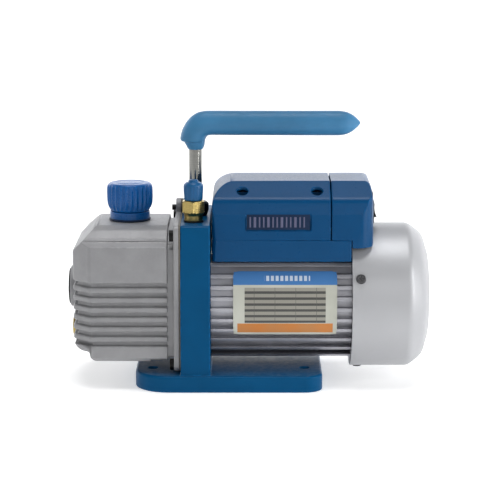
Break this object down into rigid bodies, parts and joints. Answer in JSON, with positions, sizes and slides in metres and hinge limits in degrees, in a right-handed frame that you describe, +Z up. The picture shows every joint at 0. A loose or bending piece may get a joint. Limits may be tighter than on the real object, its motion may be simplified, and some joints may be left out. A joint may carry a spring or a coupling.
{
  "type": "rotary vane vacuum pump",
  "caption": "Portable oil-sealed rotary vane vacuum pump: finned oil tank, pump column on a flat base, finned electric motor with fan cover, electrical box on top and a carrying handle.",
  "frame": {"origin": "centre of the base plate, on its bottom face", "axes": "+X along the shaft from the oil tank towards the fan, +Y across to the back, +Z up"},
  "size_m": [0.2718, 0.118, 0.2034],
  "materials": {
    "blue_paint": "satin stoved enamel over casting",
    "tank_casting": "matt as-cast",
    "motor_casting": "matt as-cast",
    "machined_alloy": "machined",
    "cover_sheet": "silver paint",
    "blue_plastic": "moulded",
    "box_plastic": "moulded, fine texture",
    "grip_rubber": "soft moulded sleeve",
    "chromed_steel": "polished",
    "black_oxide": "black oxide",
    "bright_steel": "ground",
    "bearing_steel": "polished",
    "spring_steel": "drawn wire",
    "cast_iron": "machined",
    "brass": "machined",
    "copper": "enamelled wire",
    "electrical_steel": "laminated",
    "black_rubber": "smooth",
    "fibre_gasket": "pressed fibre",
    "black_plastic": "moulded",
    "white_plastic": "moulded",
    "vane_composite": "phenolic composite",
    "sight_window": "clear",
    "filter_felt": "pressed fibre pad",
    "plate_print": "printed foil"
  },
  "bodies": {
    "pump_body": {"base_frame": "blue_paint", "oil_tank": "tank_casting", "tank_gasket": "fibre_gasket", "tank_screws": "black_oxide", "sight_glass": "sight_window", "sight_glass_ring": "black_plastic", "sight_glass_seal": "black_rubber", "exhaust_neck": "blue_plastic", "exhaust_filter": "filter_felt", "pump_back_plate": "cast_iron", "pump_stator": "cast_iron", "pump_front_cover": "cast_iron", "pump_screws": "black_oxide", "valve_stop": "bright_steel", "valve_screws": "bright_steel", "shaft_seal": "black_rubber", "front_bearing_outer": "bearing_steel", "rear_bearing_outer": "bearing_steel", "motor_housing": "motor_casting", "stator_core": "electrical_steel", "stator_winding": "copper", "rear_shield": "machined_alloy", "tie_bolts": "bright_steel", "fan_cover": "cover_sheet", "fan_cover_screws": "bright_steel", "rating_plate": "plate_print", "terminal_box": "box_plastic", "terminal_box_cover": "box_plastic", "switch_cover": "box_plastic", "box_screws": "black_oxide", "capacitor": "white_plastic", "terminal_block": "white_plastic", "power_switch": "black_plastic", "mains_inlet": "black_plastic", "inlet_pins": "brass", "intake_fitting": "brass", "intake_seal": "black_rubber", "handle_rod": "chromed_steel", "handle_grip": "grip_rubber", "handle_nut": "black_oxide"},
    "rotor": {"motor_shaft": "bright_steel", "pump_rotor": "bright_steel", "vane_springs": "spring_steel", "rotor_core": "electrical_steel", "cooling_fan": "black_plastic", "fan_clip": "spring_steel", "front_bearing_inner": "bearing_steel", "rear_bearing_inner": "bearing_steel"},
    "front_ball_set": {"front_bearing_balls": "bearing_steel"},
    "rear_ball_set": {"rear_bearing_balls": "bearing_steel"},
    "vane_a": {"vane_a": "vane_composite"},
    "vane_b": {"vane_b": "vane_composite"},
    "valve_reed": {"valve_reed": "spring_steel"},
    "exhaust_cap_seal": {"exhaust_cap_seal": "black_rubber"},
    "exhaust_cap": {"exhaust_cap": "blue_plastic"},
    "intake_cap": {"intake_cap": "blue_plastic", "intake_cap_seal": "black_rubber"},
    "drain_seal": {"drain_seal": "black_rubber"},
    "drain_plug": {"drain_plug": "brass"},
    "switch_rocker": {"switch_rocker": "black_plastic"}
  },
  "joints": [
    {"name": "rotor_spin", "type": "hinge", "parent": "pump_body", "child": "rotor", "pos_m": [0, 0, 0.063], "axis": [1, 0, 0], "continuous": true},
    {"name": "front_balls_spin", "type": "hinge", "parent": "pump_body", "child": "front_ball_set", "pos_m": [-0.0185, 0, 0.063], "axis": [1, 0, 0], "continuous": true},
    {"name": "rear_balls_spin", "type": "hinge", "parent": "pump_body", "child": "rear_ball_set", "pos_m": [0.087, 0, 0.063], "axis": [1, 0, 0], "continuous": true},
    {"name": "vane_a_slide", "type": "slide", "parent": "rotor", "child": "vane_a", "axis": [0, -1, 0], "range_m": [0, 0.0026], "deforming": ["vane_springs"]},
    {"name": "vane_b_slide", "type": "slide", "parent": "rotor", "child": "vane_b", "axis": [0, 1, 0], "range_m": [0, 0.0026], "deforming": ["vane_springs"]},
    {"name": "reed_lift", "type": "hinge", "parent": "pump_body", "child": "valve_reed", "pos_m": [-0.0575, 0, 0.0921], "axis": [1, 0, 0], "range_deg": [0, 5], "stiffness_Nm_per_rad": 0.002, "deforming": ["valve_reed"]},
    {"name": "exhaust_cap_lift", "type": "slide", "parent": "pump_body", "child": "exhaust_cap_seal", "axis": [0, 0, 1], "range_m": [0, 0.01401]},
    {"name": "exhaust_cap_turn", "type": "hinge", "parent": "exhaust_cap_seal", "child": "exhaust_cap", "pos_m": [-0.075, 0, 0.1345], "axis": [0, 0, 1], "range_deg": [0, 1440]},
    {"name": "intake_cap_lift", "type": "slide", "parent": "pump_body", "child": "intake_cap", "axis": [0, 0, 1], "range_m": [0, 0.0108]},
    {"name": "drain_plug_lift", "type": "slide", "parent": "pump_body", "child": "drain_seal", "axis": [-1, 0, 0], "range_m": [0, 0.00701]},
    {"name": "drain_plug_turn", "type": "hinge", "parent": "drain_seal", "child": "drain_plug", "pos_m": [-0.1125, 0, 0.038], "axis": [-1, 0, 0], "range_deg": [0, 2520]},
    {"name": "switch_press", "type": "hinge", "parent": "pump_body", "child": "switch_rocker", "pos_m": [0.1047, -0.014, 0.1295], "axis": [0, 1, 0], "range_deg": [0, 18]}
  ],
  "couplings": [
    {"joint": "front_balls_spin", "follows": "rotor_spin", "ratio": 0.365},
    {"joint": "rear_balls_spin", "follows": "rotor_spin", "ratio": 0.365},
    {"joint": "exhaust_cap_lift", "follows": "exhaust_cap_turn", "m_per_rad": 0.00055704},
    {"joint": "drain_plug_lift", "follows": "drain_plug_turn", "m_per_rad": 0.00015915}
  ]
}
